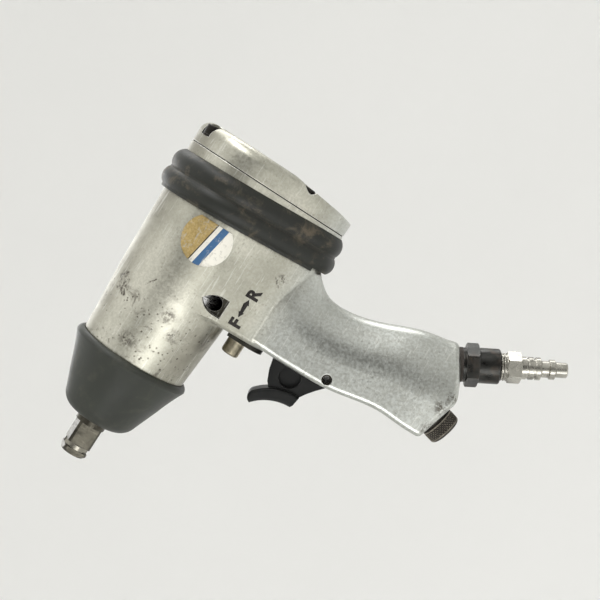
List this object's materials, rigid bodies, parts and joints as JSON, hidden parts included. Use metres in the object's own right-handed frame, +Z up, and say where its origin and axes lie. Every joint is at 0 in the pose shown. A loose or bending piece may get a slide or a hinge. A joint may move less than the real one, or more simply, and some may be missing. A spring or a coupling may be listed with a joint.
{
  "type": "pneumatic impact wrench",
  "caption": "Pistol-grip pneumatic impact wrench with a square drive, rubber boot and bumper, lever trigger, reverse knob, air regulator and quick-connect plug.",
  "frame": {"origin": "on the drive axis at the tip face of the square drive", "axes": "-X points out of the square drive along the drive axis, +Z up with the handle hanging down, -Y the side with the exhaust window"},
  "size_m": [0.1818, 0.0764, 0.2307],
  "materials": {
    "cast_housing": "cast aluminium, tumbled and polished, worn and pitted",
    "cover_casting": "cast aluminium, polished and worn",
    "boot_rubber": "moulded rubber, dusty",
    "bumper_rubber": "moulded rubber, dusty in the grooves",
    "seal_rubber": "nitrile rubber",
    "anvil_steel": "hardened steel, worn dark",
    "ring_steel": "spring steel, rubbed bright",
    "bushing_bronze": "sintered bronze",
    "hammer_steel": "case-hardened steel, oiled",
    "motor_steel": "ground steel",
    "vane_phenolic": "phenolic laminate",
    "bearing_steel": "ground bearing steel",
    "screw_steel": "black oxide steel",
    "gasket_fibre": "oil-soaked fibre",
    "reverse_steel": "plated steel, dull with dirt",
    "valve_brass": "turned brass",
    "plate_steel": "blackened steel",
    "throttle_steel": "turned steel",
    "trigger_plastic": "moulded plastic, rubbed",
    "knob_steel": "knurled steel, blackened",
    "adapter_steel": "blackened steel with rust",
    "plug_steel": "zinc-plated steel",
    "label_foil": "printed foil label, scuffed"
  },
  "bodies": {
    "housing_assembly": {"housing": "cast_housing", "nose_boot": "boot_rubber", "anvil_bushing": "bushing_bronze", "anvil_thrust_washer": "bushing_bronze", "front_end_plate": "motor_steel", "front_bearing_outer_race": "bearing_steel", "cylinder": "motor_steel", "rear_end_plate": "motor_steel", "rear_bearing_outer_race": "bearing_steel", "alignment_dowel": "motor_steel", "cover_gasket": "gasket_fibre", "rear_cover": "cover_casting", "cover_screws": "screw_steel", "cover_lock_washers": "screw_steel", "bumper": "bumper_rubber", "reverse_bushing": "valve_brass", "reverse_stop_screw": "screw_steel", "reverse_retainer_plate": "plate_steel", "throttle_bushing": "valve_brass", "throttle_spring": "throttle_steel", "trigger_pin": "throttle_steel", "inlet_washer": "gasket_fibre", "inlet_adapter": "adapter_steel", "inlet_screen": "throttle_steel", "air_plug": "plug_steel", "label": "label_foil"},
    "rotor_assembly": {"rotor": "motor_steel", "rotor_vanes": "vane_phenolic", "hammer_cage": "hammer_steel", "hammer_pin": "hammer_steel", "front_bearing_inner_race": "bearing_steel", "rear_bearing_inner_race": "bearing_steel"},
    "dog": {"hammer_dog": "hammer_steel"},
    "anvil_assembly": {"anvil": "anvil_steel", "socket_retaining_ring": "ring_steel", "retaining_ring_o_ring": "seal_rubber"},
    "front_balls": {"front_bearing_balls": "bearing_steel"},
    "rear_balls": {"rear_bearing_balls": "bearing_steel"},
    "trigger_lever": {"trigger": "trigger_plastic"},
    "throttle_valve": {"throttle_stem": "throttle_steel", "throttle_valve_seal": "seal_rubber"},
    "reverse_valve": {"reverse_spool": "reverse_steel", "reverse_spool_seals": "seal_rubber"},
    "regulator": {"regulator_knob": "knob_steel", "regulator_stem": "throttle_steel", "regulator_seal": "seal_rubber"}
  },
  "joints": [
    {"name": "rotor_spin", "type": "hinge", "parent": "housing_assembly", "child": "rotor_assembly", "pos_m": [0, 0, 0], "axis": [1, 0, 0], "continuous": true},
    {"name": "anvil_spin", "type": "hinge", "parent": "housing_assembly", "child": "anvil_assembly", "pos_m": [0, 0, 0], "axis": [1, 0, 0], "continuous": true},
    {"name": "front_ball_orbit", "type": "hinge", "parent": "housing_assembly", "child": "front_balls", "pos_m": [0.101, 0, 0], "axis": [1, 0, 0], "continuous": true},
    {"name": "rear_ball_orbit", "type": "hinge", "parent": "housing_assembly", "child": "rear_balls", "pos_m": [0.157, 0, 0], "axis": [1, 0, 0], "continuous": true},
    {"name": "dog_rock", "type": "hinge", "parent": "rotor_assembly", "child": "dog", "pos_m": [0.074, 0, 0.017], "axis": [1, 0, 0], "range_deg": [-5, 5]},
    {"name": "trigger_pull", "type": "hinge", "parent": "housing_assembly", "child": "trigger_lever", "pos_m": [0.1045, 0, -0.0887], "axis": [0, 1, 0], "range_deg": [0, 12], "stiffness_Nm_per_rad": 1, "springref_deg": -8.59},
    {"name": "throttle_slide", "type": "slide", "parent": "housing_assembly", "child": "throttle_valve", "axis": [1, 0, 0], "range_m": [0, 0.0035], "deforming": ["throttle_spring"]},
    {"name": "reverse_shift", "type": "slide", "parent": "housing_assembly", "child": "reverse_valve", "axis": [1, 0, 0], "range_m": [0, 0.0055]},
    {"name": "regulator_turn", "type": "hinge", "parent": "housing_assembly", "child": "regulator", "pos_m": [0.1164, 0, -0.1466], "axis": [-0.2419, 0, -0.9703], "range_deg": [-135, 135]}
  ],
  "couplings": [
    {"joint": "anvil_spin", "follows": "rotor_spin", "ratio": 1},
    {"joint": "front_ball_orbit", "follows": "rotor_spin", "ratio": 0.3737},
    {"joint": "rear_ball_orbit", "follows": "rotor_spin", "ratio": 0.3737},
    {"joint": "throttle_slide", "follows": "trigger_pull", "m_per_rad": 0.0167}
  ]
}
